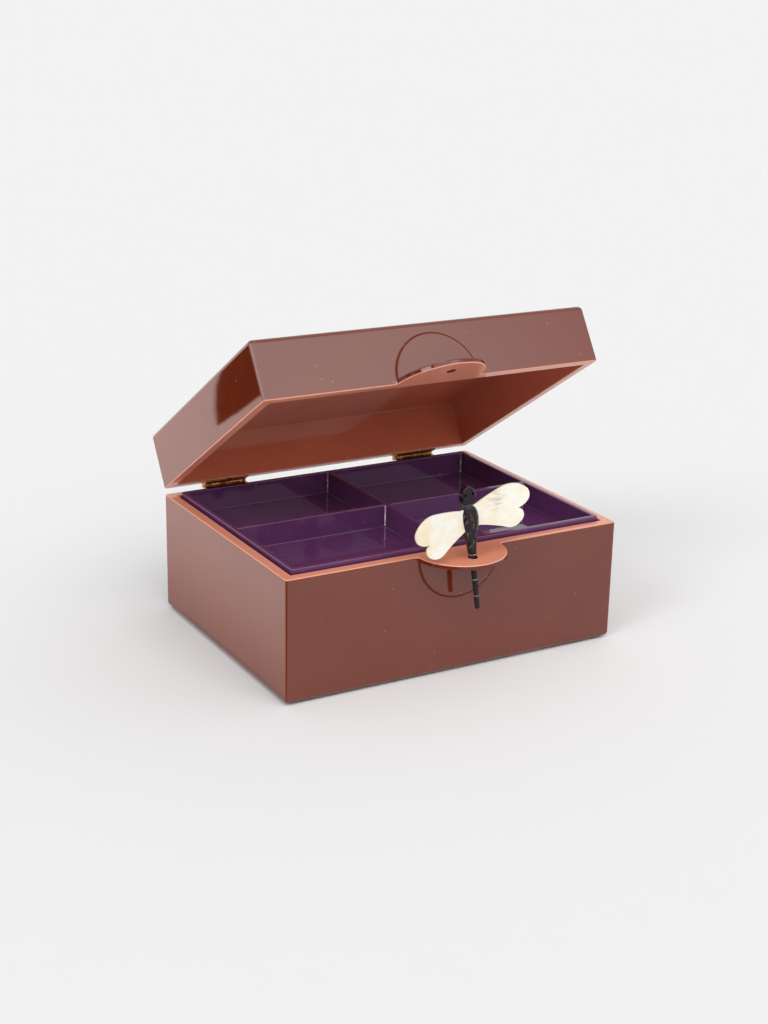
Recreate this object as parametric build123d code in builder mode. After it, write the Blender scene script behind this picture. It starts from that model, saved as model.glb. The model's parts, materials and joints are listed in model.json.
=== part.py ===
import os
from math import atan2, cos, degrees, radians, sin, sqrt
from build123d import *

os.makedirs("parts", exist_ok=True)

# Case: outside sizes of base and lid, boards and softened edges
width = 220.0
depth = 168.0
base_height = 74.0
lid_height = 35.5
board = 6.0
corner_radius = 1.2
edge_radius = 3.0

# Felt sheet glued under the base
felt_thickness = 1.0
felt_inset = 5.0

# Lid: how far it stands open, and the gap that the hinge leaves keep between the rims
lid_open_angle = 32.4
rim_gap = 1.7

# Half-round tabs level with the rims, and the hole for the pin
tab_radius = 27.2
tab_thickness = 3.0
tab_flare = 2.5
tongue_width = 44.0
tongue_depth = 4.0
hole_radius = 2.5
hole_reach = 14.4

# Thin raised half discs on the front faces, under and over the tabs and centred on them
disc_radius = 27.2
disc_thickness = 0.9

# Lift-out tray, its dividers and the ledges that carry it
tray_gap = 1.3
tray_wall = 3.0
tray_floor = 3.0
tray_depth = 14.0
tray_proud = 2.5
tray_edge_radius = 1.2
tray_corner_radius = 2.0
divider = 3.0
ledge_width = 5.0
ledge_height = 8.0

# Butt hinges between the rear rims, each with its middle that far in from the side
hinge_inset = 41.0
hinge_length = 29.0
hinge_setback = 2.7
leaf_clearance = 0.1
leaf_reach = 5.2
barrel_radius = 1.6
hinge_pin_radius = 0.75
pin_fit = 0.05
knuckle_count = 5
knuckle_gap = 0.2

# Countersunk hinge screws, two to a leaf, with heads as deep as the leaf
screw_spacing = 17.0
screw_inset = 2.8
screw_length = 8.0
screw_radius = 0.8
screw_head_radius = 1.5
screw_fit = 0.05

# Dragonfly: how it leans in its hole, to the left and back
lean_left = 7.0
lean_back = 2.2
tab_touch = 0.05

# Dragonfly body, section by section upwards from the shoulder that rests on the tab:
# height, half width, half thickness, and how far the section is set back. Each section is
# carved in eight flats, of which those in front, behind and at the sides take the flat share.
# The head's outline passes through its cheek and jaw points, given as shares of its half size.
body_sections = [
    (0.0, 2.7, 2.5, 0.0),
    (4.5, 2.75, 2.4, 0.0),
    (9.5, 3.1, 2.4, -0.1),
    (15.0, 3.95, 2.65, -0.4),
    (20.0, 4.7, 2.9, -0.7),
    (23.5, 4.9, 2.95, -0.7),
    (26.5, 4.7, 2.9, -0.4),
    (29.2, 3.9, 2.6, 0.5),
    (31.2, 2.9, 2.2, 1.7),
    (33.0, 2.7, 2.0, 2.1),
]
flat_share = 0.6
head_centre = 36.4
head_width = 7.6
head_height = 9.8
head_thickness = 4.4
head_edge = 0.6
head_cheek = (0.78, 0.56)
head_jaw = (0.72, -0.7)
eye_radius = 0.55
eye_depth = 0.6
eye_spacing = 4.8
eye_rise = 0.4
tail_length = 31.8
tail_overlap = 1.0
tail_sides = 8
tail_top_radius = 1.65
tail_tip_radius = 1.35
tail_tip_edge = 0.4
ring_heights = [-13.7, -23.7]
ring_width = 0.5
ring_depth = 0.15

# Dragonfly wings: plates with a fore and a hind lobe, let into slots in the body's sides.
# Outlines run outwards from the body's axis, with heights from the wing's pivot, in arcs:
# from the root's top or from the notch, each pair is a point on the arc and the arc's end.
wing_thickness = 1.2
wing_pivot = {"left": 23.7, "right": 24.4}
wing_set_back = -0.6
wing_tilt = {"left": -4.2, "right": 6.6}
wing_sweep = 7.0
wing_root_inner = 2.6
wing_root_outer = 4.9
wing_root_low = -6.9
wing_root_high = 5.7
fore_lobe = [
    ((14.0, 8.4), (22.5, 10.2)),
    ((30.7, 9.4), (36.8, 5.0)),
    ((38.1, 0.9), (35.9, -3.1)),
    ((32.8, -4.7), (28.8, -5.2)),
]
hind_lobe = [
    ((30.7, -6.0), (32.0, -7.5)),
    ((32.3, -10.0), (29.7, -13.6)),
    ((25.0, -15.2), (20.2, -13.7)),
]
trailing_bend = (12.4, -9.8)
wing_slot_fit = 0.05

# Levels and sizes worked out from the values above
base_top = felt_thickness + base_height
hinge_y = depth / 2 + hinge_setback
axis_rise = rim_gap / 2
leaf_thickness = (rim_gap - leaf_clearance) / 2
tray_width = width - 2 * board - 2 * tray_gap
tray_length = depth - 2 * board - 2 * tray_gap
tray_bottom = base_top + tray_proud - tray_floor - tray_depth
inner_tray_width = tray_width - 2 * tray_wall
inner_tray_length = tray_length - 2 * tray_wall

# The open mouths of base and lid: each plane lies on the rim and faces out of the hollow,
# with its y axis from front to back, so one description serves both halves of the case.
open_angle = radians(lid_open_angle)
lid_out = Vector(0, -sin(open_angle), -cos(open_angle))
base_mouth = Plane.XY.offset(base_top)
lid_axis = Plane(origin=(0, hinge_y, base_top + axis_rise), x_dir=(-1, 0, 0), z_dir=lid_out)
lid_mouth = Plane(
    origin=lid_axis.from_local_coords((0, -hinge_y, -axis_rise)), x_dir=(-1, 0, 0), z_dir=lid_out
)

# The dragonfly's own frame: its z axis runs up the tail and body, and passes through the
# middle of the hole, and its origin is on the shoulder, which touches the tab's top.
left_angle = radians(lean_left)
back_angle = radians(lean_back)
pin_up = Vector(-sin(left_angle) * cos(back_angle), sin(back_angle), cos(left_angle) * cos(back_angle))
shoulder_radius = body_sections[0][1] * sqrt(1 + flat_share**2)
shoulder_lift = shoulder_radius * sqrt(1 - pin_up.Z**2) + tab_touch
hole_middle = Vector(0, -depth / 2 - hole_reach, base_top - tab_thickness / 2)
shoulder_centre = hole_middle + pin_up * ((tab_thickness / 2 + shoulder_lift) / pin_up.Z)
pin_frame = Plane(
    origin=shoulder_centre, x_dir=(cos(left_angle), 0, sin(left_angle)), z_dir=pin_up
)


def save(part, label):
    """Label one finished piece and write it."""
    part.label = label
    export_step(part, f"parts/{label}.step")


def side_corners(side, outer_width, outer_depth, thickness):
    """Plan of one mitred side: the outer edge first, then the inner edge."""
    x, y = outer_width / 2, outer_depth / 2
    inner_x, inner_y = x - thickness, y - thickness
    corners = {
        "front": [(-x, -y), (x, -y), (inner_x, -inner_y), (-inner_x, -inner_y)],
        "back": [(x, y), (-x, y), (-inner_x, inner_y), (inner_x, inner_y)],
        "left": [(-x, y), (-x, -y), (-inner_x, -inner_y), (-inner_x, inner_y)],
        "right": [(x, -y), (x, y), (inner_x, inner_y), (inner_x, -inner_y)],
    }
    return corners[side]


def mitred_side(top, side, outer_width, outer_depth, thickness, height, radius):
    """One side of a box, mitred at both ends, hanging down from the plane of its top edge."""
    with BuildPart() as piece:
        with BuildSketch(top):
            RectangleRounded(outer_width, outer_depth, radius)
            plan = side_corners(side, outer_width, outer_depth, thickness)
            Polygon(*plan, align=None, mode=Mode.INTERSECT)
        extrude(amount=-height)
    return piece.part


def outer_board(mouth, height):
    """The full-size board across one half of the case, with its outer edges rounded."""
    with BuildPart() as piece:
        with BuildSketch(mouth.offset(-height)):
            Rectangle(width, depth)
        extrude(amount=board)
        inward = Axis(mouth.origin, mouth.z_dir)
        outer_face = piece.faces().sort_by(inward)[0]
        fillet(outer_face.edges(), edge_radius)
        fillet(piece.edges().filter_by(inward), corner_radius)
    return piece.part


def tab_plan():
    """Half-round plan of a tab with flared roots, its tongue and its hole."""
    with BuildSketch() as plan:
        with Locations((0, -depth / 2)):
            Circle(tab_radius)
        with Locations((0, -depth / 2 + tab_radius)):
            Rectangle(width, 2 * tab_radius)
        roots = plan.vertices().filter_by_position(Axis.X, -width / 4, width / 4)
        fillet(roots, tab_flare)
        with Locations((0, -depth / 2 + tab_radius)):
            Rectangle(width, 2 * tab_radius, mode=Mode.SUBTRACT)
        with Locations((0, -depth / 2 + tongue_depth / 2)):
            Rectangle(tongue_width, tongue_depth)
        with Locations((0, -depth / 2 - hole_reach)):
            Circle(hole_radius, mode=Mode.SUBTRACT)
    return plan.sketch


def clasp_tab(mouth):
    """A half-round tab, level with the rim, with its tongue in the front board."""
    with BuildPart() as piece:
        with BuildSketch(mouth):
            add(tab_plan())
        extrude(amount=-tab_thickness)
    return piece.part


def front_board(mouth, height):
    """A front board, with the seat for the tab's tongue cut in its rim."""
    with BuildPart() as piece:
        add(mitred_side(mouth, "front", width, depth, board, height - board, corner_radius))
        with BuildSketch(mouth):
            with Locations((0, -depth / 2 + tongue_depth / 2)):
                Rectangle(tongue_width, tongue_depth)
        extrude(amount=-tab_thickness, mode=Mode.SUBTRACT)
    return piece.part


def half_disc(mouth):
    """A thin raised half disc on a front face, between the tab and the outer board."""
    face = Plane(
        origin=mouth.from_local_coords((0, -depth / 2, 0)), x_dir=mouth.x_dir, z_dir=-mouth.y_dir
    )
    with BuildPart() as piece:
        with BuildSketch(face):
            with Locations((0, -tab_thickness / 2)):
                Circle(disc_radius)
            with Locations((0, disc_radius - tab_thickness)):
                Rectangle(2 * disc_radius, 2 * disc_radius, mode=Mode.SUBTRACT)
        extrude(amount=disc_thickness)
    return piece.part


def screw_spots(hinge_centres):
    """Plan positions of the hinge screws, two to a hinge."""
    row = depth / 2 - screw_inset
    return [(x + side * screw_spacing / 2, row) for x in hinge_centres for side in (-1, 1)]


def back_board(mouth, height):
    """A back board with pilot holes for the hinge screws, drilled from its rim."""
    with BuildPart() as piece:
        add(mitred_side(mouth, "back", width, depth, board, height - board, corner_radius))
        with BuildSketch(mouth):
            with Locations(*screw_spots(hinge_centres)):
                Circle(screw_radius + screw_fit)
        extrude(amount=-screw_length, mode=Mode.SUBTRACT)
    return piece.part


def hinge_leaf(mouth, hinge_x, knuckles):
    """One leaf on a rim, with its knuckles round the pin and two countersunk holes."""
    pitch = hinge_length / knuckle_count
    plate_back = hinge_y - barrel_radius - knuckle_gap
    plate_front = depth / 2 - leaf_reach
    with BuildPart() as piece:
        with BuildSketch(mouth):
            with Locations((hinge_x, (plate_front + plate_back) / 2)):
                Rectangle(hinge_length - knuckle_gap, plate_back - plate_front)
            for knuckle in knuckles:
                knuckle_x = hinge_x + (knuckle + 0.5) * pitch - hinge_length / 2
                with Locations((knuckle_x, (plate_front + hinge_y) / 2)):
                    Rectangle(pitch - knuckle_gap, hinge_y - plate_front)
        extrude(amount=leaf_thickness)
        for knuckle in knuckles:
            start_x = hinge_x + knuckle * pitch - hinge_length / 2 + knuckle_gap / 2
            start = Plane(
                origin=mouth.from_local_coords((start_x, hinge_y, axis_rise)),
                x_dir=mouth.y_dir,
                z_dir=mouth.x_dir,
            )
            with BuildSketch(start):
                Circle(barrel_radius)
            extrude(amount=pitch - knuckle_gap)
            with BuildSketch(start):
                Circle(hinge_pin_radius + pin_fit)
            extrude(amount=pitch - knuckle_gap, mode=Mode.SUBTRACT)
        with BuildSketch(mouth.offset(leaf_thickness)):
            with Locations(*screw_spots([hinge_x])):
                Circle(screw_head_radius + screw_fit)
        extrude(amount=-leaf_thickness, taper=screw_taper, mode=Mode.SUBTRACT)
    return piece.part


def hinge_screws(mouth):
    """The countersunk screws through the leaves of one half, as one group."""
    head_level = mouth.offset(leaf_thickness)
    spots = screw_spots(hinge_centres)
    with BuildPart() as piece:
        with BuildSketch(head_level):
            with Locations(*spots):
                Circle(screw_head_radius)
        extrude(amount=-leaf_thickness, taper=screw_taper)
        with BuildSketch(mouth):
            with Locations(*spots):
                Circle(screw_radius)
        extrude(amount=leaf_thickness - screw_length)
    return piece.part


def hinge_pin(hinge_x):
    """A plain hinge pin, flush with both ends of the barrel."""
    start = Plane(
        origin=(hinge_x - hinge_length / 2 + knuckle_gap / 2, hinge_y, base_top + axis_rise),
        x_dir=(0, 1, 0),
        z_dir=(1, 0, 0),
    )
    with BuildPart() as piece:
        with BuildSketch(start):
            Circle(hinge_pin_radius)
        extrude(amount=hinge_length - knuckle_gap)
    return piece.part


def tray_side(side):
    """One wall of the tray, standing on its floor, with a rounded top edge."""
    top = Plane.XY.offset(base_top + tray_proud)
    with BuildPart() as piece:
        with BuildSketch(top):
            RectangleRounded(tray_width, tray_length, tray_corner_radius)
            Rectangle(inner_tray_width, inner_tray_length, mode=Mode.SUBTRACT)
        extrude(amount=-tray_depth)
        fillet(piece.faces().sort_by(Axis.Z)[-1].edges(), tray_edge_radius)
        with BuildSketch(top):
            plan = side_corners(side, tray_width, tray_length, tray_wall)
            Polygon(*plan, align=None)
        extrude(amount=-tray_depth, mode=Mode.INTERSECT)
    return piece.part


def halved_divider(length, across, slot_from_top):
    """A tray divider with a rounded top edge, halved where it crosses the other one."""
    size_x, size_y = (length, divider) if across else (divider, length)
    floor_level = tray_bottom + tray_floor
    with BuildPart() as piece:
        with BuildSketch(Plane.XY.offset(floor_level)):
            Rectangle(size_x, size_y)
        extrude(amount=tray_depth)
        along = Axis.X if across else Axis.Y
        fillet(piece.faces().sort_by(Axis.Z)[-1].edges().filter_by(along), tray_edge_radius)
        slot_level = floor_level + (tray_depth / 2 if slot_from_top else 0)
        with BuildSketch(Plane.XY.offset(slot_level)):
            Rectangle(divider, divider)
        extrude(amount=tray_depth / 2, mode=Mode.SUBTRACT)
    return piece.part


def wing_frame(side):
    """The plane of one wing: x runs outwards along the wing, y runs up."""
    outward = 1 if side == "right" else -1
    sweep, tilt = radians(wing_sweep), radians(wing_tilt[side])
    level = pin_frame.x_dir * (outward * cos(sweep)) - pin_frame.y_dir * sin(sweep)
    along = level * cos(tilt) + pin_frame.z_dir * sin(tilt)
    upward = pin_frame.z_dir * cos(tilt) - level * sin(tilt)
    root = pin_frame.from_local_coords((0, wing_set_back, wing_pivot[side]))
    return Plane(origin=root, x_dir=along, z_dir=along.cross(upward))


def wing_slot():
    """Sketch of the slot for a wing's straight root, open towards the body's side."""
    with BuildSketch() as slot:
        with Locations((wing_root_inner - wing_slot_fit, wing_root_low - wing_slot_fit)):
            Rectangle(
                2 * wing_root_outer,
                wing_root_high - wing_root_low + 2 * wing_slot_fit,
                align=(Align.MIN, Align.MIN),
            )
    return slot.sketch


def dragonfly_wing(side):
    """One wing plate: a fore and a hind lobe with a notch between, and a straight root."""
    top, bottom = (wing_root_outer, wing_root_high), (wing_root_outer, wing_root_low)
    with BuildPart() as piece:
        with BuildSketch(wing_frame(side)):
            with BuildLine():
                start = top
                for bend, end in [*fore_lobe, *hind_lobe, (trailing_bend, bottom)]:
                    ThreePointArc(start, bend, end)
                    start = end
                inner_ends = [(wing_root_inner, wing_root_low), (wing_root_inner, wing_root_high)]
                Polyline(bottom, *inner_ends, top)
            make_face()
        extrude(amount=wing_thickness / 2, both=True)
    return piece.part


def head_outline(inset):
    """The head seen from the front: rounded, with a slight point at its crown."""
    side, crown = head_width / 2 - inset, head_height / 2 - inset
    with BuildSketch() as outline:
        with BuildLine():
            ThreePointArc((0, crown), (head_cheek[0] * side, head_cheek[1] * crown), (side, 0))
            ThreePointArc((side, 0), (head_jaw[0] * side, head_jaw[1] * crown), (0, -crown))
            mirror(about=Plane.YZ)
        make_face()
    return outline.sketch


def carved_section(x, y):
    """One section of the body, in eight flats, from its half width and half thickness."""
    with BuildSketch() as section:
        corners = [(x, flat_share * y), (flat_share * x, y)]
        mirrored = [(-far, near) for far, near in reversed(corners)]
        upper = corners + mirrored
        Polygon(*upper, *[(-far, -near) for far, near in upper], align=None)
    return section.sketch


def carved_thorax():
    """The body between shoulder and neck, with a slot for each wing."""
    with BuildPart() as piece:
        for height, half_width, half_thickness, set_back in body_sections:
            with BuildSketch(pin_frame.offset(height)):
                with Locations((0, set_back)):
                    add(carved_section(half_width, half_thickness))
        loft(ruled=True)
        for side in ("left", "right"):
            with BuildSketch(wing_frame(side)):
                add(wing_slot())
            extrude(amount=wing_thickness / 2 + wing_slot_fit, both=True, mode=Mode.SUBTRACT)
    return piece.part


def carved_head():
    """The head, flat in front with two drilled eyes."""
    face = Plane(
        origin=pin_frame.from_local_coords((0, 0, head_centre)),
        x_dir=pin_frame.x_dir,
        z_dir=-pin_frame.y_dir,
    )
    with BuildPart() as piece:
        with BuildSketch(face.offset(-head_edge)):
            add(head_outline(0))
        extrude(amount=head_edge - head_thickness)
        with BuildSketch(face.offset(-head_edge)):
            add(head_outline(0))
        with BuildSketch(face):
            add(head_outline(head_edge))
        loft()
        with BuildSketch(face):
            with Locations((-eye_spacing / 2, eye_rise), (eye_spacing / 2, eye_rise)):
                Circle(eye_radius)
        extrude(amount=-eye_depth, mode=Mode.SUBTRACT)
    return piece.part


def carved_tail():
    """The tapered tail that goes down through the hole, with two shallow rings."""
    taper = (tail_top_radius - tail_tip_radius) / tail_length
    sections = [(tail_overlap, tail_top_radius)]
    for height in ring_heights:
        radius = tail_top_radius + taper * height
        for rise, cut in ((ring_width, 0), (0, ring_depth), (-ring_width, 0)):
            sections.append((height + rise / 2, radius - cut))
    sections.append((tail_tip_edge - tail_length, tail_tip_radius))
    sections.append((-tail_length, tail_tip_radius - tail_tip_edge))
    with BuildPart() as piece:
        for height, radius in sections:
            with BuildSketch(pin_frame.offset(height)):
                RegularPolygon(radius, tail_sides, major_radius=False)
        loft(ruled=True)
    return piece.part


hinge_centres = [hinge_inset - width / 2, width / 2 - hinge_inset]
screw_taper = degrees(atan2(screw_head_radius - screw_radius, leaf_thickness))
even_knuckles = range(0, knuckle_count, 2)
odd_knuckles = range(1, knuckle_count, 2)

# Both halves of the case. The lid's mouth faces the other way, so its left is the plane's right.
halves = {
    "base": (base_mouth, base_height, {"left": "left", "right": "right"}, even_knuckles),
    "lid": (lid_mouth, lid_height, {"left": "right", "right": "left"}, odd_knuckles),
}
for half, (mouth, height, turned, knuckles) in halves.items():
    save(front_board(mouth, height), f"{half}_front_board")
    save(back_board(mouth, height), f"{half}_back_board")
    for side in ("left", "right"):
        board_side = turned[side]
        end = mitred_side(mouth, board_side, width, depth, board, height - board, corner_radius)
        save(end, f"{half}_{side}_board")
    save(clasp_tab(mouth), f"{half}_clasp_tab")
    save(half_disc(mouth), f"{half}_front_disc")
    for side, hinge_x in zip(("left", "right"), hinge_centres):
        leaf = hinge_leaf(mouth, hinge_x if half == "base" else -hinge_x, knuckles)
        save(leaf, f"{side}_hinge_{half}_leaf")
    save(hinge_screws(mouth), f"{half}_hinge_screws")
save(outer_board(base_mouth, base_height), "base_bottom_board")
save(outer_board(lid_mouth, lid_height), "lid_top_board")
for side, hinge_x in zip(("left", "right"), hinge_centres):
    save(hinge_pin(hinge_x), f"{side}_hinge_pin")

# Felt sheet under the base
with BuildPart() as base_felt:
    with BuildSketch():
        RectangleRounded(width - 2 * felt_inset, depth - 2 * felt_inset, edge_radius)
    extrude(amount=felt_thickness)
save(base_felt.part, "base_felt_sheet")

# Ledges on the side boards that carry the tray
for side, direction in (("left", -1), ("right", 1)):
    with BuildPart() as ledge:
        with BuildSketch(Plane.XY.offset(tray_bottom)):
            with Locations((direction * (width / 2 - board - ledge_width / 2), 0)):
                Rectangle(ledge_width, depth - 2 * board)
        extrude(amount=-ledge_height)
    save(ledge.part, f"{side}_tray_ledge")

# Lift-out tray
for side in ("front", "back", "left", "right"):
    save(tray_side(side), f"tray_{side}_wall")
with BuildPart() as tray_floor_board:
    with BuildSketch(Plane.XY.offset(tray_bottom)):
        RectangleRounded(tray_width, tray_length, tray_corner_radius)
    extrude(amount=tray_floor)
save(tray_floor_board.part, "tray_floor")
save(halved_divider(inner_tray_length, across=False, slot_from_top=True), "tray_long_divider")
save(halved_divider(inner_tray_width, across=True, slot_from_top=False), "tray_cross_divider")

# Dragonfly: thorax, head and tail are carved from one piece
with BuildPart() as dragonfly_body:
    add(carved_thorax())
    add(carved_head())
    add(carved_tail())
save(dragonfly_body.part, "dragonfly_body")
for side in ("left", "right"):
    save(dragonfly_wing(side), f"dragonfly_{side}_wing")
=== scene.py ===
import json
import math

import bmesh
import bpy
from mathutils import Matrix, Vector


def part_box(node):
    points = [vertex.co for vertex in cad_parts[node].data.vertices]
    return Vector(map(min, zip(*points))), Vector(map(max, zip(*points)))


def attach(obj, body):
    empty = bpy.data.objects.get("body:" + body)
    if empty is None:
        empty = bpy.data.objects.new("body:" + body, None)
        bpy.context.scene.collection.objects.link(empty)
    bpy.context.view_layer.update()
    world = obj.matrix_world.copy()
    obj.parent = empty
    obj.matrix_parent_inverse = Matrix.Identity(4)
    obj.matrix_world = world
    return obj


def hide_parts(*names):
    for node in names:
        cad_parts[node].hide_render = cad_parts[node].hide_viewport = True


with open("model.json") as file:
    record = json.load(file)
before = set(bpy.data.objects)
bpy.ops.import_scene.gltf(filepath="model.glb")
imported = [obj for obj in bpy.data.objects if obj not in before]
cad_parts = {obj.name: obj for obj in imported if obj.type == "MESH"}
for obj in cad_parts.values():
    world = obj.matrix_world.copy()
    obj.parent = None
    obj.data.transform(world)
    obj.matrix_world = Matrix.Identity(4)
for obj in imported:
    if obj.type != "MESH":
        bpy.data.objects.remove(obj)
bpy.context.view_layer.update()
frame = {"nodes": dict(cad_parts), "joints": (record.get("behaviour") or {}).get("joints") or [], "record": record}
nodes = frame["nodes"]
joints = {joint["name"]: joint for joint in frame["joints"]}

# Sizes that the frame gives, in metres
bottom_low, bottom_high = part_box("base_bottom_board")
width = bottom_high.x - bottom_low.x
depth = bottom_high.y - bottom_low.y
board = bottom_high.z - bottom_low.z
base_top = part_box("base_front_board")[1].z
base_height = base_top - bottom_low.z
tab_low, tab_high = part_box("base_clasp_tab")
tab_radius = -depth / 2 - tab_low.y
tab_thickness = tab_high.z - tab_low.z
disc_low, disc_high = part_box("base_front_disc")
disc_thickness = disc_high.y - disc_low.y
disc_radius = base_top - tab_thickness / 2 - disc_low.z
tray_low, tray_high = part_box("tray_floor")
tray_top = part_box("tray_front_wall")[1].z
tray_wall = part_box("tray_left_wall")[1].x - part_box("tray_left_wall")[0].x
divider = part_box("tray_long_divider")[1].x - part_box("tray_long_divider")[0].x

# Lacquered case: its lid, its rounded edges, the tabs with their holes and the half discs
lid_height = 0.0355
lid_open_angle = math.radians(32.4)
edge_radius = 0.003
corner_radius = 0.0012
rim_edge = 0.0006
pooled_radius = 0.0006
tab_flare = 0.0025
tab_edge = 0.0008
hole_radius = 0.0025
hole_reach = 0.0144
hole_edge = 0.0004
disc_edge_height = 0.0008
disc_edge_width = 0.0012

# Tray
tray_corner = 0.002
tray_edge = 0.0006
tray_foot = 0.0004
tray_pooled = 0.0006

# Dragonfly, in a frame that stands just above the tab with z up the pin and y to the back
pin_lean = math.radians(7)
shoulder_lift = 0.000452

# The body's sections: height, half width, half thickness and how far each is set back
body_sections = [
    (-0.0002, 0.0021, 0.0022, 0.0),
    (0.0014, 0.00215, 0.0022, 0.0),
    (0.0018, 0.00215, 0.0022, 0.0),
    (0.0045, 0.0023, 0.00225, 0.0),
    (0.0095, 0.003, 0.0024, -0.0001),
    (0.015, 0.0039, 0.00265, -0.0004),
    (0.02, 0.0047, 0.0029, -0.0007),
    (0.0235, 0.0049, 0.00295, -0.0007),
    (0.0265, 0.0047, 0.0029, -0.0004),
    (0.0292, 0.0039, 0.0028, 0.0002),
    (0.0312, 0.0031, 0.0025, 0.0012),
    (0.0335, 0.0026, 0.0021, 0.0021),
]

# The scored ring of the foot, in the second material, runs from section 1 to section 2
foot_score = [(1, 1), (2, 0)]
flat_share = 0.6
carved_edge = 0.0003
head_centre = 0.0358
head_half_width = 0.0046
head_half_height = 0.006
head_thickness = 0.0044
head_shift = (0.0009, -0.0012)
head_edge = 0.0006
head_cheek = (0.78, 0.56)
head_jaw = (0.72, -0.7)
head_steps = 8
eye_radius = 0.0008
eye_rise = 0.0013
eye_reach = 0.0024
eye_bulge = 0.0003
tail_length = 0.0318
tail_top_radius = 0.00165
tail_tip_radius = 0.00135
tail_tip_edge = 0.0004
tail_rings = (-0.0137, -0.0237)
tail_ring_width = 0.0005
tail_ring_depth = 0.0001
tail_sides = 8

# How finely the round stretches are divided
arc_steps = 6
foot_steps = 3
tab_steps = 56
disc_steps = 64
hole_steps = 40
eye_steps = 20
bevel_steps = 3

# Edges sharper than these angles stay creased, or are bevelled
crease_angle = math.radians(38)
bevel_angle = math.radians(20)

# Points nearer than this are one, and a cutter goes this far past what it cuts
same_point = 1e-7
past = 0.001


def rigid(origin, x_dir, z_dir):
    """The matrix of a frame with that origin and its x and z axes along those directions."""
    z_axis = Vector(z_dir).normalized()
    x_axis = Vector(x_dir)
    x_axis = (x_axis - z_axis * x_axis.dot(z_axis)).normalized()
    turned = Matrix((x_axis, z_axis.cross(x_axis), z_axis)).transposed()
    return Matrix.Translation(origin) @ turned.to_4x4()


# The open mouths of base and lid: z points out of the hollow, y from front to back
hinge_point = Vector(joints["lid_hinge"]["pos_m"])
lid_out = (0, -math.sin(lid_open_angle), -math.cos(lid_open_angle))
base_mouth = Matrix.Translation((0, 0, base_top))
lid_mouth = rigid(hinge_point, (-1, 0, 0), lid_out) @ Matrix.Translation(
    (0, -hinge_point.y, base_top - hinge_point.z)
)
pin_up = Vector(joints["dragonfly_draw"]["axis"])
hole_middle = Vector((0, -depth / 2 - hole_reach, base_top - tab_thickness / 2))
shoulder = hole_middle + pin_up * ((tab_thickness / 2 + shoulder_lift) / pin_up.z)
pin_place = rigid(shoulder, (math.cos(pin_lean), 0, math.sin(pin_lean)), pin_up)


# Mesh helpers


def quarter(steps=arc_steps):
    """Pairs of sine and cosine round a quarter circle."""
    turns = [math.pi / 2 * i / steps for i in range(steps + 1)]
    return [(math.sin(turn), math.cos(turn)) for turn in turns]


def skin(bm, rings, tones=()):
    """Join rings of points with quads and return their vertices.

    Tones are pairs of a ring's number and the material that the faces take from there on.
    """
    loops = [[bm.verts.new(point) for point in ring] for ring in rings]
    tone, changes = 0, dict(tones)
    for row, (low, high) in enumerate(zip(loops, loops[1:])):
        tone = changes.get(row, tone)
        for i in range(len(low)):
            j = (i + 1) % len(low)
            face = bm.faces.new((low[i], low[j], high[j], high[i]))
            face.material_index = tone
    return loops


def closed_skin(rings, tones=()):
    """A closed mesh from rings that start and end in a flat face."""
    bm = bmesh.new()
    loops = skin(bm, rings, tones)
    bm.faces.new(list(reversed(loops[0])))
    cap = bm.faces.new(loops[-1])
    cap.material_index = tones[-1][1] if tones else 0
    return bm


def mesh_object(bm, name, place=Matrix.Identity(4)):
    """An object from a mesh that is built in the frame of that matrix."""
    bm.transform(place)
    bm.normal_update()
    mesh = bpy.data.meshes.new(name)
    bm.to_mesh(mesh)
    bm.free()
    piece = bpy.data.objects.new(name, mesh)
    bpy.context.scene.collection.objects.link(piece)
    return piece


def baked(piece):
    """Make a piece's modifiers part of its mesh."""
    bpy.context.view_layer.update()
    shaped = piece.evaluated_get(bpy.context.evaluated_depsgraph_get())
    piece.data = bpy.data.meshes.new_from_object(shaped)
    piece.modifiers.clear()


def cut(piece, cutter):
    """Take the cutter's shape out of a piece."""
    boolean = piece.modifiers.new("cut", "BOOLEAN")
    boolean.operation = "DIFFERENCE"
    boolean.solver = "EXACT"
    boolean.object = cutter
    baked(piece)
    bpy.data.objects.remove(cutter)


def smooth(piece):
    """Shade round stretches smoothly and keep flat faces flat."""
    for polygon in piece.data.polygons:
        polygon.use_smooth = True
    piece.data.set_sharp_from_angle(angle=crease_angle)
    weighted = piece.modifiers.new("weighted normals", "WEIGHTED_NORMAL")
    weighted.keep_sharp = True


def dress(piece, body, slot, materials, *replaced):
    """Finish a piece: its materials, its body and the nodes that it stands for. The slot is not used."""
    tones = [polygon.material_index for polygon in piece.data.polygons]
    piece.data.materials.clear()
    for material in materials:
        piece.data.materials.append(material)
    piece.data.polygons.foreach_set("material_index", tones)
    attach(piece, body)
    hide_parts(*replaced)


def at_level(plan, z):
    """The plan's points at one height."""
    return [(x, y, z) for x, y in plan]


def around(centre, radius, turns):
    """Points of a circle at those angles."""
    x, y = centre
    return [(x + radius * math.cos(turn), y + radius * math.sin(turn)) for turn in turns]


def lathe(profile, centre, steps):
    """A closed mesh turned about z from pairs of radius and height, from low to high."""
    turns = [2 * math.pi * i / steps for i in range(steps)]
    return closed_skin(
        [at_level(around(centre, radius, turns), height) for radius, height in profile]
    )


def corner_arc(centre, radius, start):
    """Points of a quarter circle that starts at that angle, in degrees."""
    turns = [math.radians(start + 90 * i / arc_steps) for i in range(arc_steps + 1)]
    return around(centre, radius, turns)


def rounded_plan(low, high, radius, front=()):
    """Plan of a rounded rectangle, anticlockwise, with extra points along its front."""
    return (
        corner_arc((low[0] + radius, low[1] + radius), radius, 180)
        + list(front)
        + corner_arc((high[0] - radius, low[1] + radius), radius, 270)
        + corner_arc((high[0] - radius, high[1] - radius), radius, 0)
        + corner_arc((low[0] + radius, high[1] - radius), radius, 90)
    )


# Lacquered case


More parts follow.
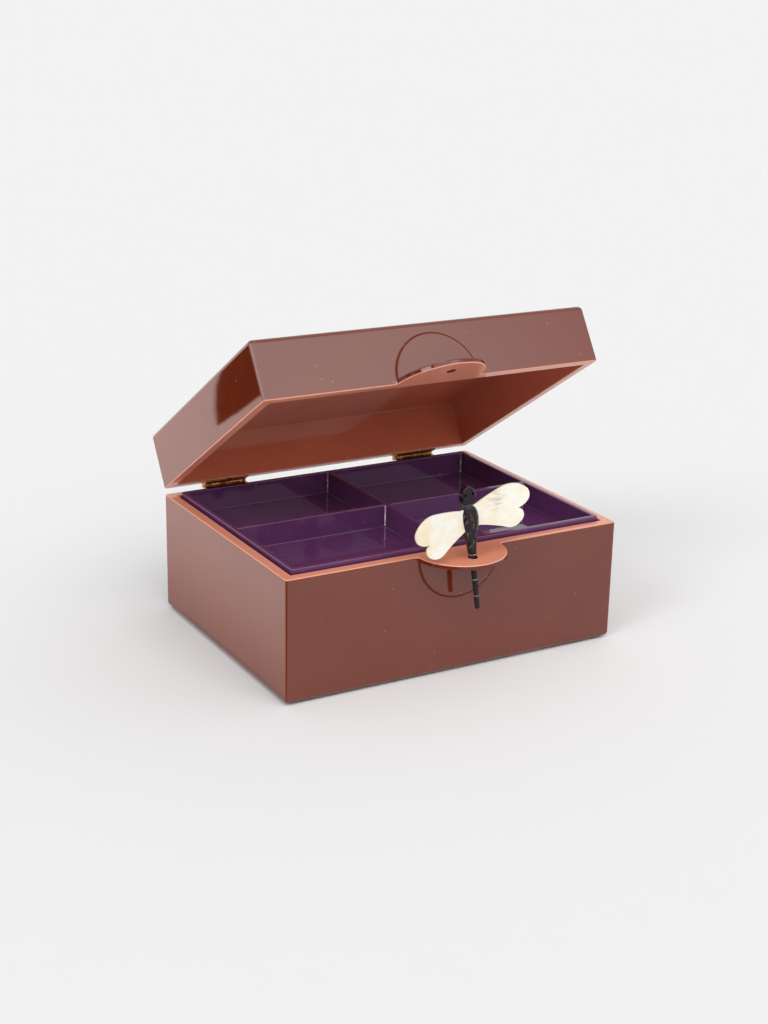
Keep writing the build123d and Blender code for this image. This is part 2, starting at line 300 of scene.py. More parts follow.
def tab_outline(edge_inset, inset):
    """Front edge with the tab's half round, drawn in by the inset.

    Along the flared roots the inset changes to that of the straight edge.
    """
    flare_x = math.sqrt((tab_radius + tab_flare) ** 2 - tab_flare**2)
    meeting = math.degrees(math.atan2(tab_flare, flare_x))
    flare_y = -depth / 2 - tab_flare
    points = []
    for i in range(arc_steps + 1):
        turn = math.radians(90 + (meeting - 90) * i / arc_steps)
        reach = tab_flare + edge_inset + (inset - edge_inset) * i / arc_steps
        points.append((-flare_x + reach * math.cos(turn), flare_y + reach * math.sin(turn)))
    for i in range(1, tab_steps):
        turn = math.radians(180 + meeting + (180 - 2 * meeting) * i / tab_steps)
        reach = tab_radius - inset
        points.append((reach * math.cos(turn), -depth / 2 + reach * math.sin(turn)))
    mirrored = [(-x, y) for x, y in reversed(points[: arc_steps + 1])]
    return points + mirrored


def case_loop(inset, radius, z, tab_inset=None):
    """One loop round the case; with a tab inset it goes round the tab too."""
    outline = tab_outline(inset, inset if tab_inset is None else tab_inset)
    if tab_inset is None:
        outline = [(x, inset - depth / 2) for x, y in outline]
    low = (inset - width / 2, inset - depth / 2)
    high = (width / 2 - inset, depth / 2 - inset)
    return at_level(rounded_plan(low, high, radius, outline), z)


def case_half(name, mouth, height):
    """One half of the case in one skin of lacquer, from its outer face over the rim to its floor.

    Its materials are 0 outside, 1 on the rim (lighter, partly painted light), 2 inside and 3 on the edges of tab
    and hole (painted shade).
    """
    rings = []
    for sine, cosine in quarter():
        level = edge_radius * (1 - cosine) - height
        rings.append(case_loop(edge_radius * (1 - sine), corner_radius, level))
    under = -tab_thickness
    rings.append(case_loop(0, corner_radius, under))
    for sine, cosine in quarter():
        level = under + tab_edge * (1 - cosine)
        rings.append(case_loop(0, corner_radius, level, tab_edge * (1 - sine)))
    rim_ring = len(rings)
    for sine, cosine in quarter():
        inset = rim_edge * (1 - cosine)
        rings.append(case_loop(inset, corner_radius, rim_edge * (sine - 1), inset))
    for sine, cosine in quarter():
        inset = board - rim_edge * (1 - sine)
        rings.append(case_loop(inset, pooled_radius, rim_edge * (cosine - 1)))
    wall_ring = len(rings) - 1
    floor = board - height
    for sine, cosine in quarter():
        inset = board + pooled_radius * (1 - cosine)
        rings.append(case_loop(inset, pooled_radius, floor + pooled_radius * (1 - sine)))
    bm = closed_skin(rings, [(rim_ring, 1), (wall_ring, 2)])
    tab_side = -depth / 2 - tab_edge
    for face in bm.faces:
        if face.material_index == 0 and all(vertex.co.y < tab_side for vertex in face.verts):
            face.material_index = 3
    bmesh.ops.remove_doubles(bm, verts=bm.verts, dist=same_point)
    piece = mesh_object(bm, name)
    cut(piece, hole_cutter())
    piece.data.transform(mouth)
    smooth(piece)
    return piece


def hole_cutter():
    """The pin's hole through a tab, with softened edges above and below."""
    wide = hole_radius + hole_edge
    profile = [(wide, -tab_thickness - past)]
    for sine, cosine in quarter():
        profile.append((wide - hole_edge * sine, hole_edge * (1 - cosine) - tab_thickness))
    for sine, cosine in quarter():
        profile.append((hole_radius + hole_edge * (1 - cosine), hole_edge * (sine - 1)))
    profile.append((wide, past))
    cutter = lathe(profile, (0, -depth / 2 - hole_reach), hole_steps)
    # The hole's walls take the painted shade lacquer
    for face in cutter.faces:
        face.material_index = 3
    return mesh_object(cutter, "hole_cutter")


def half_disc(name, mouth):
    """The thin raised half disc on a front face; its rounded edge takes the second material, a painted shade line.
    """
    rings = [disc_loop(0, 0)]
    for sine, cosine in quarter():
        rise = disc_thickness - disc_edge_height * (1 - sine)
        rings.append(disc_loop(disc_edge_width * (1 - cosine), rise))
    piece = mesh_object(closed_skin(rings, [(0, 1), (arc_steps + 1, 0)]), name, mouth)
    smooth(piece)
    return piece


def disc_loop(inset, rise):
    """One loop round the half disc, drawn in by the inset, at that rise from the face."""
    reach = disc_radius - inset
    middle = -tab_thickness / 2
    start = math.asin(tab_thickness / 2 / reach)
    points = []
    for i in range(disc_steps + 1):
        turn = start + (math.pi - 2 * start) * i / disc_steps
        x, z = -reach * math.cos(turn), middle - reach * math.sin(turn)
        points.append((x, -depth / 2 - rise, z))
    return points


# Tray


def tray_mesh():
    """The tray in one skin of lacquer: outside, rounded top edges and four hollows."""
    bm = bmesh.new()
    rings = []
    for sine, cosine in quarter(foot_steps):
        level = tray_low.z + tray_foot * (1 - cosine)
        rings.append(tray_loop(tray_foot * (1 - sine), level))
    for sine, cosine in quarter():
        level = tray_top - tray_edge * (1 - sine)
        rings.append(tray_loop(tray_edge * (1 - cosine), level))
    outside = skin(bm, rings)
    bm.faces.new(list(reversed(outside[0])))
    rims = [outside[-1]]
    for side_x in (-1, 1):
        for side_y in (-1, 1):
            rims.append(tray_hollow(bm, side_x, side_y))
    edges = []
    for rim in rims:
        for i in range(len(rim)):
            edges.append(bm.edges.get((rim[i - 1], rim[i])))
    bmesh.ops.triangle_fill(
        bm, use_beauty=True, use_dissolve=False, edges=edges, normal=(0, 0, 1)
    )
    return bm


def tray_loop(inset, z):
    """One loop round the tray's outside, drawn in by the inset."""
    low = (tray_low.x + inset, tray_low.y + inset)
    high = (tray_high.x - inset, tray_high.y - inset)
    return at_level(rounded_plan(low, high, tray_corner), z)


def tray_hollow(bm, side_x, side_y):
    """One of the four hollows, from its rounded rim down to its floor; returns its rim.

    Its upright corners take the second material, with painted glints.
    """
    xs = sorted((side_x * divider / 2, side_x * (tray_high.x - tray_wall)))
    ys = sorted((side_y * divider / 2, side_y * (tray_high.y - tray_wall)))
    rings = []
    for sine, cosine in quarter():
        level = tray_top - tray_edge * (1 - cosine)
        rings.append(hollow_loop(xs, ys, tray_edge * (1 - sine), level))
    for sine, cosine in quarter():
        level = tray_high.z + tray_pooled * (1 - sine)
        rings.append(hollow_loop(xs, ys, tray_pooled * (cosine - 1), level))
    loops = skin(bm, rings)
    bm.faces.new(loops[-1])
    upper, lower = loops[arc_steps], loops[arc_steps + 1]
    for i in range(len(upper)):
        # The last point of each corner starts a flat wall
        if i % (arc_steps + 1) < arc_steps:
            run = bm.faces.get((upper[i], upper[i + 1], lower[i + 1], lower[i]))
            run.material_index = 1
    return loops[0]


def hollow_loop(xs, ys, outset, z):
    """One loop round a hollow, drawn out by the outset."""
    radius = tray_pooled + max(outset, 0)
    low = (xs[0] - outset, ys[0] - outset)
    high = (xs[1] + outset, ys[1] + outset)
    return at_level(rounded_plan(low, high, radius), z)


# Dragonfly


def carved_section(half_width, half_thickness, set_back, height):
    """One section of the body, in eight flats."""
    upper = [(half_width, flat_share * half_thickness), (flat_share * half_width, half_thickness)]
    upper += [(-x, y) for x, y in reversed(upper)]
    return [(x, y + set_back, height) for x, y in upper + [(-x, -y) for x, y in upper]]


def arc_through(start, bend, end, steps):
    """Points of the arc through three points, without its start."""
    (ax, ay), (bx, by), (cx, cy) = start, bend, end
    across = 2 * (ax * (by - cy) + bx * (cy - ay) + cx * (ay - by))
    squares = [ax**2 + ay**2, bx**2 + by**2, cx**2 + cy**2]
    x = (squares[0] * (by - cy) + squares[1] * (cy - ay) + squares[2] * (ay - by)) / across
    y = (squares[0] * (cx - bx) + squares[1] * (ax - cx) + squares[2] * (bx - ax)) / across
    first = math.atan2(ay - y, ax - x)
    sweep = math.remainder(math.atan2(cy - y, cx - x) - first, 2 * math.pi)
    radius = math.hypot(ax - x, ay - y)
    turns = [first + sweep * i / steps for i in range(1, steps + 1)]
    return around((x, y), radius, turns)


def head_loop(inset, back):
    """The head's outline, with a slight point at its crown, that far behind its face."""
    side, crown = head_half_width - inset, head_half_height - inset
    jaw = (head_jaw[0] * side, head_jaw[1] * crown)
    cheek = (head_cheek[0] * side, head_cheek[1] * crown)
    right = arc_through((0, -crown), jaw, (side, 0), head_steps)
    right += arc_through((side, 0), cheek, (0, crown), head_steps)
    left = [(-x, z) for x, z in reversed(right[:-1])]
    outline = right + left + [(0, -crown)]
    return [(x + head_shift[0], back + head_shift[1], head_centre + z) for x, z in outline]


def tail_loop(height, radius):
    """One section of the tail, with flats at that radius."""
    turns = [2 * math.pi * (i + 0.5) / tail_sides for i in range(tail_sides)]
    corner = radius / math.cos(math.pi / tail_sides)
    return at_level(around((0, 0), corner, turns), height)


def tail_skin():
    """The tapered tail, with its two rings in the second material."""
    taper = (tail_top_radius - tail_tip_radius) / tail_length
    sections = [
        (-tail_length, tail_tip_radius - tail_tip_edge),
        (tail_tip_edge - tail_length, tail_tip_radius),
    ]
    tones = []
    for height in sorted(tail_rings):
        radius = tail_top_radius + taper * height
        tones += [(len(sections), 1), (len(sections) + 2, 0)]
        for rise, deep in ((-tail_ring_width, 0), (0, tail_ring_depth), (tail_ring_width, 0)):
            sections.append((height + rise / 2, radius - deep))
    sections.append((0, tail_top_radius))
    return closed_skin([tail_loop(height, radius) for height, radius in sections], tones)


def eye_skin(side):
    """A small bead in the head's face."""
    centre = (side * eye_reach + head_shift[0], head_centre + eye_rise)
    profile = [(eye_radius, -eye_bulge)]
    for sine, cosine in quarter()[:-1]:
        profile.append((eye_radius * cosine, eye_bulge * sine))
    bead = lathe(profile, centre, eye_steps)
    face = Matrix.Translation((0, head_shift[1], 0)) @ Matrix.Rotation(math.pi / 2, 4, "X")
    bead.transform(face)
    return bead


def gather(name, shells, place):
    """One object from several closed shells."""
    whole = bmesh.new()
    for shell in shells:
        mesh = bpy.data.meshes.new(name)
        shell.to_mesh(mesh)
        shell.free()
        whole.from_mesh(mesh)
        bpy.data.meshes.remove(mesh)
    return mesh_object(whole, name, place)


def softened(piece, size):
    """Round a piece's sharp edges off."""
    bevel = piece.modifiers.new("bevel", "BEVEL")
    bevel.width = size
    bevel.segments = bevel_steps
    bevel.limit_method = "ANGLE"
    bevel.angle_limit = bevel_angle
    baked(piece)


def carved_body():
    """Thorax, head and tail, carved from one piece."""
    sections = [carved_section(x, y, back, z) for z, x, y, back in body_sections]
    thorax = closed_skin(sections, foot_score)
    head = closed_skin([
        head_loop(head_edge, head_thickness),
        head_loop(0, head_thickness - head_edge),
        head_loop(0, head_edge),
        head_loop(head_edge, 0),
    ])
    piece = gather("carved_body", [thorax, head, tail_skin()], pin_place)
    softened(piece, carved_edge)
    smooth(piece)
    return piece


# Materials

# Scales are counts of features per metre, and depths of relief are in metres
cloud_scale = 14
dust_scale = 190
dust_depth = 0.00004
peel_scale = 700
peel_depth = 0.000006
swell_scale = 38
swell_depth = 0.00002
streak_scale = 330
patina_scale = 260
pit_scale = 600
pit_depth = 0.00001
stroke_scale = 900
stroke_depth = 0.00012
score_scale = 1600
horn_cloud_scale = 55
fibre_scale = 1400
fibre_depth = 0.00003
fleck_scale = 420
nap_scale = 1800
nap_depth = 0.0002
floor_cloud_scale = 40

# How the patterns are stretched: knife strokes up the body, fibres and flecks along a wing
stroke_stretch = (1.0, 1.0, 0.25)
fibre_stretch = (0.12, 1.0, 1.0)
fleck_stretch = (0.3, 1.0, 1.0)

# The middle of the flecks on the right wing, in the dragonfly's frame
fleck_middle = (0.017, -0.001, 0.03)


def new_material(name):
    """A node material; returns it with its node tree and its shader."""
    material = bpy.data.materials.new(name)
    material.use_nodes = True
    tree = material.node_tree
    shader = tree.nodes["Principled BSDF"]
    return material, tree, shader


def node(tree, kind, **settings):
    """A node with its settings; those named after an input set that input."""
    made = tree.nodes.new(kind)
    for key, value in settings.items():
        if key in made.inputs:
            made.inputs[key].default_value = value
        else:
            setattr(made, key, value)
    return made


def grey(level):
    """A grey of that level, as a colour."""
    return (level, level, level)


def coordinates(tree, scale=(1, 1, 1), turn=(0, 0, 0)):
    """Object coordinates in metres, scaled and turned."""
    place = node(tree, "ShaderNodeTexCoord")
    mapping = node(tree, "ShaderNodeMapping")
    mapping.inputs["Scale"].default_value = scale
    mapping.inputs["Rotation"].default_value = turn
    tree.links.new(place.outputs["Object"], mapping.inputs["Vector"])
    return mapping.outputs["Vector"]


def noise(tree, vector, scale, detail=3.0, roughness=0.55):
    """Cloudy noise from 0 to 1."""
    made = node(tree, "ShaderNodeTexNoise", Scale=scale, Detail=detail, Roughness=roughness)
    tree.links.new(vector, made.inputs["Vector"])
    return made.outputs["Fac"]


def ramp(tree, value, stops):
    """A colour ramp over a value; stops are pairs of place and grey or colour."""
    made = node(tree, "ShaderNodeValToRGB")
    elements = made.color_ramp.elements
    while len(elements) < len(stops):
        elements.new(0.5)
    for element, (place, shade) in zip(elements, stops):
        color = grey(shade) if isinstance(shade, (int, float)) else shade
        element.position = place
        element.color = (*color, 1)
    tree.links.new(value, made.inputs["Fac"])
    return made.outputs["Color"]


def mix(tree, share, first, second):
    """Mix two colours, each a colour or a socket, by the share that a socket gives."""
    made = node(tree, "ShaderNodeMix", data_type="RGBA")
    tree.links.new(share, made.inputs[0])
    for socket, color in ((made.inputs[6], first), (made.inputs[7], second)):
        if isinstance(color, bpy.types.NodeSocket):
            tree.links.new(color, socket)
        else:
            socket.default_value = (*color, 1)
    return made.outputs[2]


def bump(tree, height, depth_of_relief, under=None):
    """A relief of that depth, on top of the one under it."""
    made = node(tree, "ShaderNodeBump", Distance=depth_of_relief, Strength=1.0)
    tree.links.new(height, made.inputs["Height"])
    if under is not None:
        tree.links.new(under, made.inputs["Normal"])
    return made.outputs["Normal"]


def lacquer(name, color, deep, speck, coat=1.0):
    """Lacquer under a clear coat: cloudy depth, fine dust specks and a faint orange peel."""
    material, tree, shader = new_material(name)
    place = coordinates(tree)
    cloud = ramp(tree, noise(tree, place, cloud_scale, 4), ((0.35, 0.0), (0.7, 1.0)))
    body = mix(tree, cloud, color, deep)
    dust = node(tree, "ShaderNodeTexVoronoi", Scale=dust_scale)
    tree.links.new(place, dust.inputs["Vector"])
    spot = ramp(tree, dust.outputs["Distance"], ((0.04, 1.0), (0.085, 0.0)))
    chosen = ramp(tree, dust.outputs["Color"], ((0.45, 0.0), (0.75, 0.8)))
    specks = mix(tree, spot, grey(0), chosen)
    body = mix(tree, specks, body, speck)
    tree.links.new(body, shader.inputs["Base Color"])
    surface = bump(tree, noise(tree, place, peel_scale, 3, 0.6), peel_depth)
    surface = bump(tree, noise(tree, place, swell_scale, 2), swell_depth, surface)
    surface = bump(tree, specks, dust_depth, surface)
    tree.links.new(surface, shader.inputs["Coat Normal"])
    shader.inputs["Roughness"].default_value = 0.42
    shader.inputs["Specular IOR Level"].default_value = 0.0
    shader.inputs["Coat Weight"].default_value = coat
    shader.inputs["Coat Roughness"].default_value = 0.03
    shader.inputs["Coat IOR"].default_value = 1.65
    return material


def painted_glint_lacquer(name, color, pale):
    """Lacquer with broken pale streaks: painted glints along the upright corners."""
    material, tree, shader = new_material(name)
    streaks = noise(tree, coordinates(tree), streak_scale, 3, 0.6)
    breaks = ramp(tree, streaks, ((0.4, 0.25), (0.56, 1.0)))
    # The pale colour is painted glints
    tree.links.new(mix(tree, breaks, color, pale), shader.inputs["Base Color"])
    shader.inputs["Roughness"].default_value = 0.3
    shader.inputs["Coat Weight"].default_value = 1.0
    return material


def brass(name):
    """Antique brass: dull gold with brown patina."""
    material, tree, shader = new_material(name)
    place = coordinates(tree)
    patina = ramp(tree, noise(tree, place, patina_scale, 4, 0.6), ((0.4, 0.0), (0.62, 1.0)))
    tone = mix(tree, patina, (0.5, 0.24, 0.085), (0.12, 0.045, 0.02))
    tree.links.new(tone, shader.inputs["Base Color"])
    dull = ramp(tree, patina, ((0.0, 0.24), (1.0, 0.5)))
    tree.links.new(dull, shader.inputs["Roughness"])
    shader.inputs["Metallic"].default_value = 1.0
    tree.links.new(bump(tree, noise(tree, place, pit_scale), pit_depth), shader.inputs["Normal"])
    return material


def black_horn(name):
    """Black horn; brownish knife marks run down the thorax."""
    material, tree, shader = new_material(name)
    place = coordinates(tree, stroke_stretch, (0, pin_lean, 0))
    strokes = noise(tree, place, stroke_scale, 3, 0.6)
    height = node(tree, "ShaderNodeSeparateXYZ")
    tree.links.new(coordinates(tree), height.inputs[0])
    above = node(tree, "ShaderNodeMapRange")
    tree.links.new(height.outputs["Z"], above.inputs["Value"])
    above.inputs["From Min"].default_value = base_top
    above.inputs["From Max"].default_value = base_top + head_centre
    thorax_stops = ((0.1, 0.0), (0.25, 1.0), (0.72, 1.0), (0.8, 0.0))
    thorax = ramp(tree, above.outputs["Result"], thorax_stops)
    marks = mix(tree, thorax, grey(0), ramp(tree, strokes, ((0.54, 0.0), (0.64, 0.8))))
    tone = mix(tree, marks, (0.008, 0.004, 0.008), (0.16, 0.12, 0.105))
    tree.links.new(tone, shader.inputs["Base Color"])
    dull = ramp(tree, marks, ((0.0, 0.22), (1.0, 0.55)))
    tree.links.new(dull, shader.inputs["Roughness"])
    tree.links.new(bump(tree, strokes, stroke_depth), shader.inputs["Normal"])
    shader.inputs["Specular IOR Level"].default_value = 0.25
    shader.inputs["Coat Weight"].default_value = 0.12
    shader.inputs["Coat Roughness"].default_value = 0.08
    return material


def scratched_horn(name):
    """Horn scored pale in the tail's rings."""
    material, tree, shader = new_material(name)
    score = noise(tree, coordinates(tree), score_scale, 2)
    pale = ramp(tree, score, ((0.4, 0.0), (0.6, 1.0)))
    tone = mix(tree, pale, (0.05, 0.05, 0.05), (0.5, 0.48, 0.45))
    tree.links.new(tone, shader.inputs["Base Color"])
    shader.inputs["Roughness"].default_value = 0.5
    return material


def bead_black(name):
    """Dull black of the eyes."""
    material, tree, shader = new_material(name)
    cloud = noise(tree, coordinates(tree), stroke_scale, 2)
    shade = ramp(tree, cloud, ((0.3, 0.001), (0.7, 0.004)))
    tree.links.new(shade, shader.inputs["Base Color"])
    shader.inputs["Roughness"].default_value = 0.3
    shader.inputs["Specular IOR Level"].default_value = 0.0
    return material


def pale_horn(name):
    """Cream horn: cloudy yellow zones, fine fibres along the wing and a few brown flecks."""
    material, tree, shader = new_material(name)
    place = coordinates(tree)
    cloud = ramp(tree, noise(tree, place, horn_cloud_scale), ((0.42, 0.0), (0.66, 1.0)))
    tone = mix(tree, cloud, (0.9, 0.87, 0.79), (0.86, 0.72, 0.46))
    fibres = noise(tree, coordinates(tree, fibre_stretch), fibre_scale, 3, 0.6)
    streaks = ramp(tree, fibres, ((0.44, 0.0), (0.7, 0.28)))
    tone = mix(tree, streaks, tone, (0.74, 0.64, 0.47))
    away = node(tree, "ShaderNodeVectorMath", operation="DISTANCE")
    tree.links.new(place, away.inputs[0])
    away.inputs[1].default_value = pin_place @ Vector(fleck_middle)
    near = ramp(tree, away.outputs["Value"], ((0.002, 0.75), (0.008, 0.0)))
    patches = noise(tree, coordinates(tree, fleck_stretch), fleck_scale, 4, 0.6)
    flecks = ramp(tree, patches, ((0.44, 0.0), (0.6, 1.0)))
    tone = mix(tree, mix(tree, near, grey(0), flecks), tone, (0.42, 0.33, 0.24))
    tree.links.new(tone, shader.inputs["Base Color"])
    shader.inputs["Roughness"].default_value = 0.3
    shader.inputs["Subsurface Weight"].default_value = 0.35
    shader.inputs["Subsurface Radius"].default_value = (0.004, 0.003, 0.0018)
    shader.inputs["Subsurface Scale"].default_value = 0.5
    shader.inputs["Coat Weight"].default_value = 0.5
    shader.inputs["Coat Roughness"].default_value = 0.12
    tree.links.new(bump(tree, fibres, fibre_depth), shader.inputs["Normal"])
    return material


def felt(name):
    """Dark felt with a mottled nap."""
    material, tree, shader = new_material(name)
    nap = noise(tree, coordinates(tree), nap_scale, 4, 0.7)
    tone = mix(tree, nap, (0.02, 0.014, 0.013), (0.075, 0.055, 0.05))
    tree.links.new(tone, shader.inputs["Base Color"])
    shader.inputs["Roughness"].default_value = 0.95
    shader.inputs["Sheen Weight"].default_value = 0.4
    tree.links.new(bump(tree, nap, nap_depth), shader.inputs["Normal"])
    return material


# Deep brown of the painted shade on edges, and the dust specks on those edges
painted_shade_brown = (0.1, 0.015, 0.006)
shaded_edge_dust = (0.5, 0.25, 0.18)
tray_purple = (0.11, 0.034, 0.12)

copper = lacquer("copper_lacquer", (0.66, 0.18, 0.1), (0.58, 0.15, 0.08), (0.8, 0.5, 0.4))
brown = lacquer(
    "brown_lacquer", (0.158, 0.026, 0.0095), (0.138, 0.021, 0.0075), (0.45, 0.28, 0.24)
)
# Rim and tab tops: the rim's copper tone, made lighter than the inside copper as painted light on the top faces
rim_copper_painted_light = lacquer("rim_lacquer_painted_light", (0.77, 0.305, 0.195), (0.73, 0.275, 0.17), (0.9, 0.6, 0.5))
# Painted shade: a darker, less glossy lacquer on the tabs' upright edges and in the holes
painted_shade_edge = lacquer("painted_shade_edge_lacquer", (0.15, 0.024, 0.009), painted_shade_brown, shaded_edge_dust, coat=0.6)
# Painted shade: a dark lacquer with little coat that draws a shade line round the half discs
disc_painted_shade = lacquer("disc_painted_shade_lacquer", (0.13, 0.02, 0.008), painted_shade_brown, shaded_edge_dust, coat=0.15)
purple = lacquer("purple_lacquer", tray_purple, (0.092, 0.027, 0.101), (0.5, 0.32, 0.5))
# Painted glints: pale streaks in the tray's upright corners
purple_painted_glints = painted_glint_lacquer("purple_painted_glints", tray_purple, (0.9, 0.84, 0.9))
horn_black = black_horn("black_horn")
horn_scratched = scratched_horn("scratched_horn")
eye_black = bead_black("eye_black")
horn_pale = pale_horn("pale_horn")
old_brass = brass("antique_brass")
dark_felt = felt("dark_felt")


# The object's pieces

case_tones = (brown, rim_copper_painted_light, copper, painted_shade_edge)
disc_tones = (brown, disc_painted_shade)

dress(
    case_half("base_case", base_mouth, base_height), "base", "copper_lacquer", case_tones,
    "base_front_board", "base_back_board", "base_left_board", "base_right_board",
    "base_bottom_board", "base_clasp_tab",
)
dress(
    case_half("lid_case", lid_mouth, lid_height), "lid", "copper_lacquer", case_tones,
    "lid_front_board", "lid_back_board", "lid_left_board", "lid_right_board",
    "lid_top_board", "lid_clasp_tab",
)
dress(
    half_disc("base_disc", base_mouth), "base", "copper_lacquer", disc_tones, "base_front_disc"
)
dress(
    half_disc("lid_disc", lid_mouth), "lid", "copper_lacquer", disc_tones, "lid_front_disc"
)

tray = mesh_object(tray_mesh(), "lift_out_tray")
smooth(tray)
dress(
    tray, "tray", "purple_lacquer", (purple, purple_painted_glints),
    "tray_front_wall", "tray_back_wall", "tray_left_wall", "tray_right_wall", "tray_floor",
    "tray_long_divider", "tray_cross_divider",
)

dress(carved_body(), "dragonfly", "black_horn", (horn_black, horn_scratched), "dragonfly_body")
eyes = gather("dragonfly_eyes", [eye_skin(-1), eye_skin(1)], pin_place)
smooth(eyes)
eyes.data.materials.append(eye_black)
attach(eyes, "dragonfly")

# Nodes that the scene shows as they are get the material of their slot
slot_materials = {
    "felt": dark_felt, "bare_wood": copper, "brass": old_brass, "pale_horn": horn_pale
}
for subpart in frame["record"]["subparts"]:
    cad_node = nodes[subpart["node"]]
    slot_material = slot_materials.get(subpart["material_slot"])
    if slot_material and not cad_node.hide_render:
        cad_node.data.materials.clear()
        cad_node.data.materials.append(slot_material)


# Camera at the photograph's viewing angle

# The lens is in millimetres, for a sensor with a longer side of 36 mm
camera_lens = 59.57
camera_place = (-0.4898, -0.8487, 0.4006)
camera_right = (0.86981, -0.49303, 0.01883)
camera_forward = Vector((0.47275, 0.82189, -0.3178))

camera_data = bpy.data.cameras.new("camera")
camera_data.lens = camera_lens
camera = bpy.data.objects.new("camera", camera_data)
bpy.context.scene.collection.objects.link(camera)
camera.matrix_world = rigid(camera_place, camera_right, -camera_forward)
bpy.context.scene.camera = camera


# Floor, light and backdrop

backdrop = grey(0.865)
floor_reach = 60.0
floor_level = 0.795
floor_contrast = 0.004
left_fill = 0.27
right_fill = 1.0
near_black = (0.004, 0.002, 0.001)

# Spots of the sky that the lacquer mirrors: where each comes from, and the cosines of the
# angles at which it is full and gone
softbox = grey(2.25)
softbox_from = (0.34, -0.69, 0.64)
softbox_cosines = (0.995, 0.93)
strip = grey(9.0)
strip_from = (0.0, 0.2, 0.98)
strip_cosines = (0.995, 0.985)
gap_from = (-0.865, -0.307, 0.395)
gap_cosines = (0.95, 0.85)

# Broad lights
key_power = 0.42 * math.pi
key_spread = math.radians(60)
key_from = (-0.1, -0.62, 0.77)
side_power = 0.3 * math.pi
side_spread = math.radians(25)
side_from = (-0.8, -0.3, 0.55)

# Two glowing cards low over the floor to the left, which only reflections see: painted
# reflections for the faces that mirror them. The one beside the box's front corner is dark.
# The other's shades run from card_near to shade_far, darker near the box, and its last shade
# goes on from there; its pinkish tint adds painted light to the left faces.
card_rise = 0.001
card_near = -0.115
shade_far = -0.27
left_card_far = -2.5
left_card_back = 2.5
corner_y = -0.087
corner_card_far = -0.8
corner_card_front = -0.6
left_level = 1.6
left_shades = (
    (0.0, (0.56, 0.39, 0.36)),
    (0.22, (0.83, 0.61, 0.55)),
    (0.42, (0.95, 0.75, 0.7)),
    (1.0, (1.0, 0.79, 0.735)),
)
dark_shades = ((0.0, near_black), (1.0, (0.005, 0.002, 0.001)))

# A dark card that the lid's left face mirrors: its place to the left of the box, and its
# outline in y and z
dark_card_x = -0.25
dark_outline = [
    (0.254, 0.127), (0.264, 0.122), (0.291, 0.107), (0.313, 0.088), (0.322, 0.074),
    (0.323, 0.057), (0.319, 0.042), (0.279, 0.063), (0.242, 0.084), (0.224, 0.093),
]


def light_path(tree, *kinds):
    """1 for rays of those kinds, else 0."""
    path = node(tree, "ShaderNodeLightPath")
    result = path.outputs[kinds[0]]
    for kind in kinds[1:]:
        either = node(tree, "ShaderNodeMath", operation="MAXIMUM")
        tree.links.new(result, either.inputs[0])
        tree.links.new(path.outputs[kind], either.inputs[1])
        result = either.outputs[0]
    return result


def soft_spot(tree, direction, middle, cosines):
    """1 round a direction of the sky, falling to 0 between the angles of those cosines."""
    full, gone = cosines
    along = node(tree, "ShaderNodeVectorMath", operation="DOT_PRODUCT")
    tree.links.new(direction, along.inputs[0])
    along.inputs[1].default_value = Vector(middle).normalized()
    spot = node(tree, "ShaderNodeMapRange", interpolation_type="SMOOTHSTEP")
    tree.links.new(along.outputs["Value"], spot.inputs["Value"])
    spot.inputs["From Min"].default_value = gone
    spot.inputs["From Max"].default_value = full
    return spot.outputs["Result"]


def studio_world():
    """Even soft light and a pale backdrop; the lacquer mirrors a softbox, a gap and a strip."""
    world = bpy.data.worlds.new("studio")
    world.use_nodes = True
    bpy.context.scene.world = world
    tree = world.node_tree
    background = tree.nodes["Background"]
    direction = node(tree, "ShaderNodeTexCoord").outputs["Generated"]
    turned = node(tree, "ShaderNodeSeparateXYZ")
    tree.links.new(direction, turned.inputs[0])
    across = node(tree, "ShaderNodeMapRange")
    tree.links.new(turned.outputs["X"], across.inputs["Value"])
    across.inputs["From Min"].default_value = -1.0
    sides = ramp(tree, across.outputs["Result"], ((0.0, left_fill), (1.0, right_fill)))
    softbox_spot = soft_spot(tree, direction, softbox_from, softbox_cosines)
    mirrored = mix(tree, softbox_spot, backdrop, softbox)
    gap_spot = soft_spot(tree, direction, gap_from, gap_cosines)
    mirrored = mix(tree, gap_spot, mirrored, near_black)
    strip_spot = soft_spot(tree, direction, strip_from, strip_cosines)
    mirrored = mix(tree, strip_spot, mirrored, strip)
    shade = mix(tree, light_path(tree, "Is Glossy Ray"), sides, mirrored)
    seen = light_path(tree, "Is Camera Ray", "Is Transmission Ray")
    tree.links.new(mix(tree, seen, shade, backdrop), background.inputs["Color"])


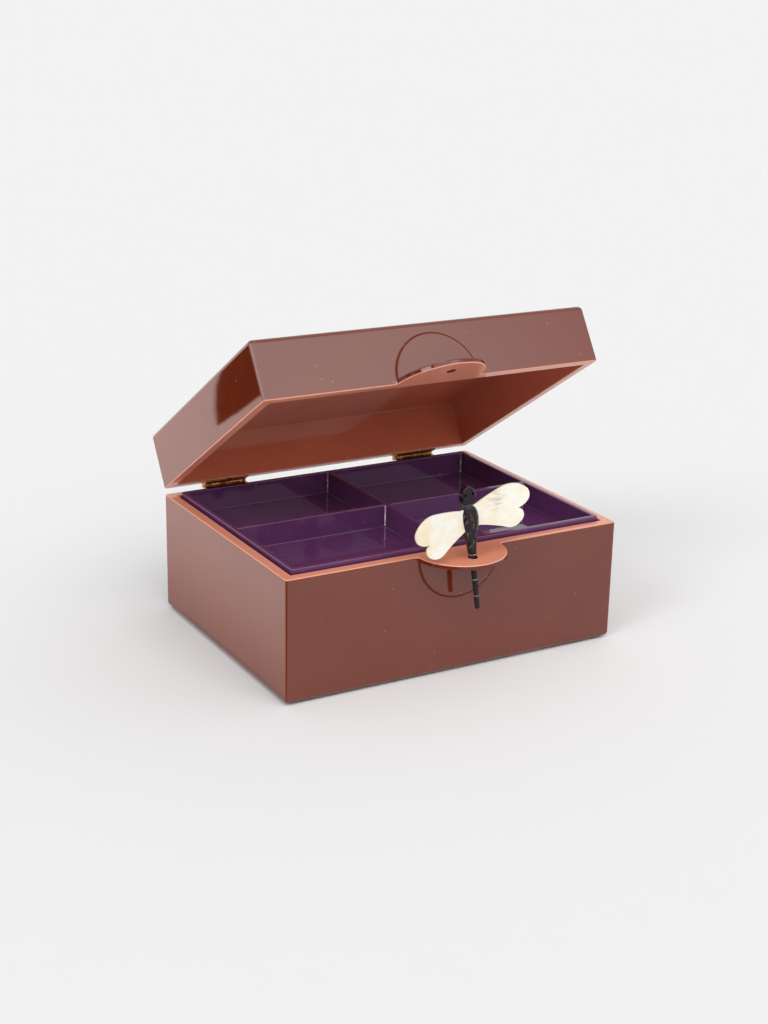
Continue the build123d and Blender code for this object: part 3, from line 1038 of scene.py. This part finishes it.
def studio_floor():
    """A wide, plain, pale floor that takes the object's shadow."""
    bm = bmesh.new()
    corners = [(-1, -1), (1, -1), (1, 1), (-1, 1)]
    bm.faces.new([bm.verts.new((floor_reach * x, floor_reach * y, 0)) for x, y in corners])
    floor = mesh_object(bm, "studio_floor")
    material, tree, shader = new_material("pale_floor")
    cloud = noise(tree, coordinates(tree), floor_cloud_scale, 2)
    levels = ((0.0, floor_level - floor_contrast), (1.0, floor_level + floor_contrast))
    tree.links.new(ramp(tree, cloud, levels), shader.inputs["Base Color"])
    shader.inputs["Roughness"].default_value = 1.0
    shader.inputs["Specular IOR Level"].default_value = 0.0
    floor.data.materials.append(material)


def low_corners(far_x, front_y, back_y):
    """Corners of a card that lies low on the floor and runs from the box to the left."""
    plan = [(card_near, front_y), (card_near, back_y), (far_x, back_y), (far_x, front_y)]
    return at_level(plan, card_rise)


def card(name, corners, level, shades):
    """A flat glowing card that only reflections show, a painted reflection; its shades run from the box to the
    left.
    """
    bm = bmesh.new()
    bm.faces.new([bm.verts.new(corner) for corner in corners])
    piece = mesh_object(bm, name)
    material = bpy.data.materials.new(name)
    material.use_nodes = True
    tree = material.node_tree
    tree.nodes.clear()
    place = node(tree, "ShaderNodeSeparateXYZ")
    tree.links.new(coordinates(tree), place.inputs[0])
    outwards = node(tree, "ShaderNodeMapRange")
    tree.links.new(place.outputs["X"], outwards.inputs["Value"])
    outwards.inputs["From Min"].default_value = card_near
    outwards.inputs["From Max"].default_value = shade_far
    glow = node(tree, "ShaderNodeEmission", Strength=level)
    tree.links.new(ramp(tree, outwards.outputs["Result"], shades), glow.inputs["Color"])
    output = node(tree, "ShaderNodeOutputMaterial")
    tree.links.new(glow.outputs[0], output.inputs["Surface"])
    piece.data.materials.append(material)
    piece.visible_camera = False
    piece.visible_diffuse = False
    piece.visible_shadow = False
    piece.visible_transmission = False


def sun(name, power, spread, origin):
    """A broad light that shines from that direction."""
    data = bpy.data.lights.new(name, "SUN")
    data.energy = power
    data.angle = spread
    lamp = bpy.data.objects.new(name, data)
    lamp.rotation_euler = Vector(origin).to_track_quat("Z", "Y").to_euler()
    bpy.context.scene.collection.objects.link(lamp)


studio_world()
studio_floor()
left_corners = low_corners(left_card_far, corner_y, left_card_back)
card("left_card", left_corners, left_level, left_shades)
front_corners = low_corners(corner_card_far, corner_card_front, corner_y)
card("corner_card", front_corners, 1.0, dark_shades)
card("dark_card", [(dark_card_x, y, z) for y, z in dark_outline], 1.0, dark_shades)
sun("key", key_power, key_spread, key_from)
sun("side", side_power, side_spread, side_from)

bpy.context.scene.view_settings.view_transform = "Standard"
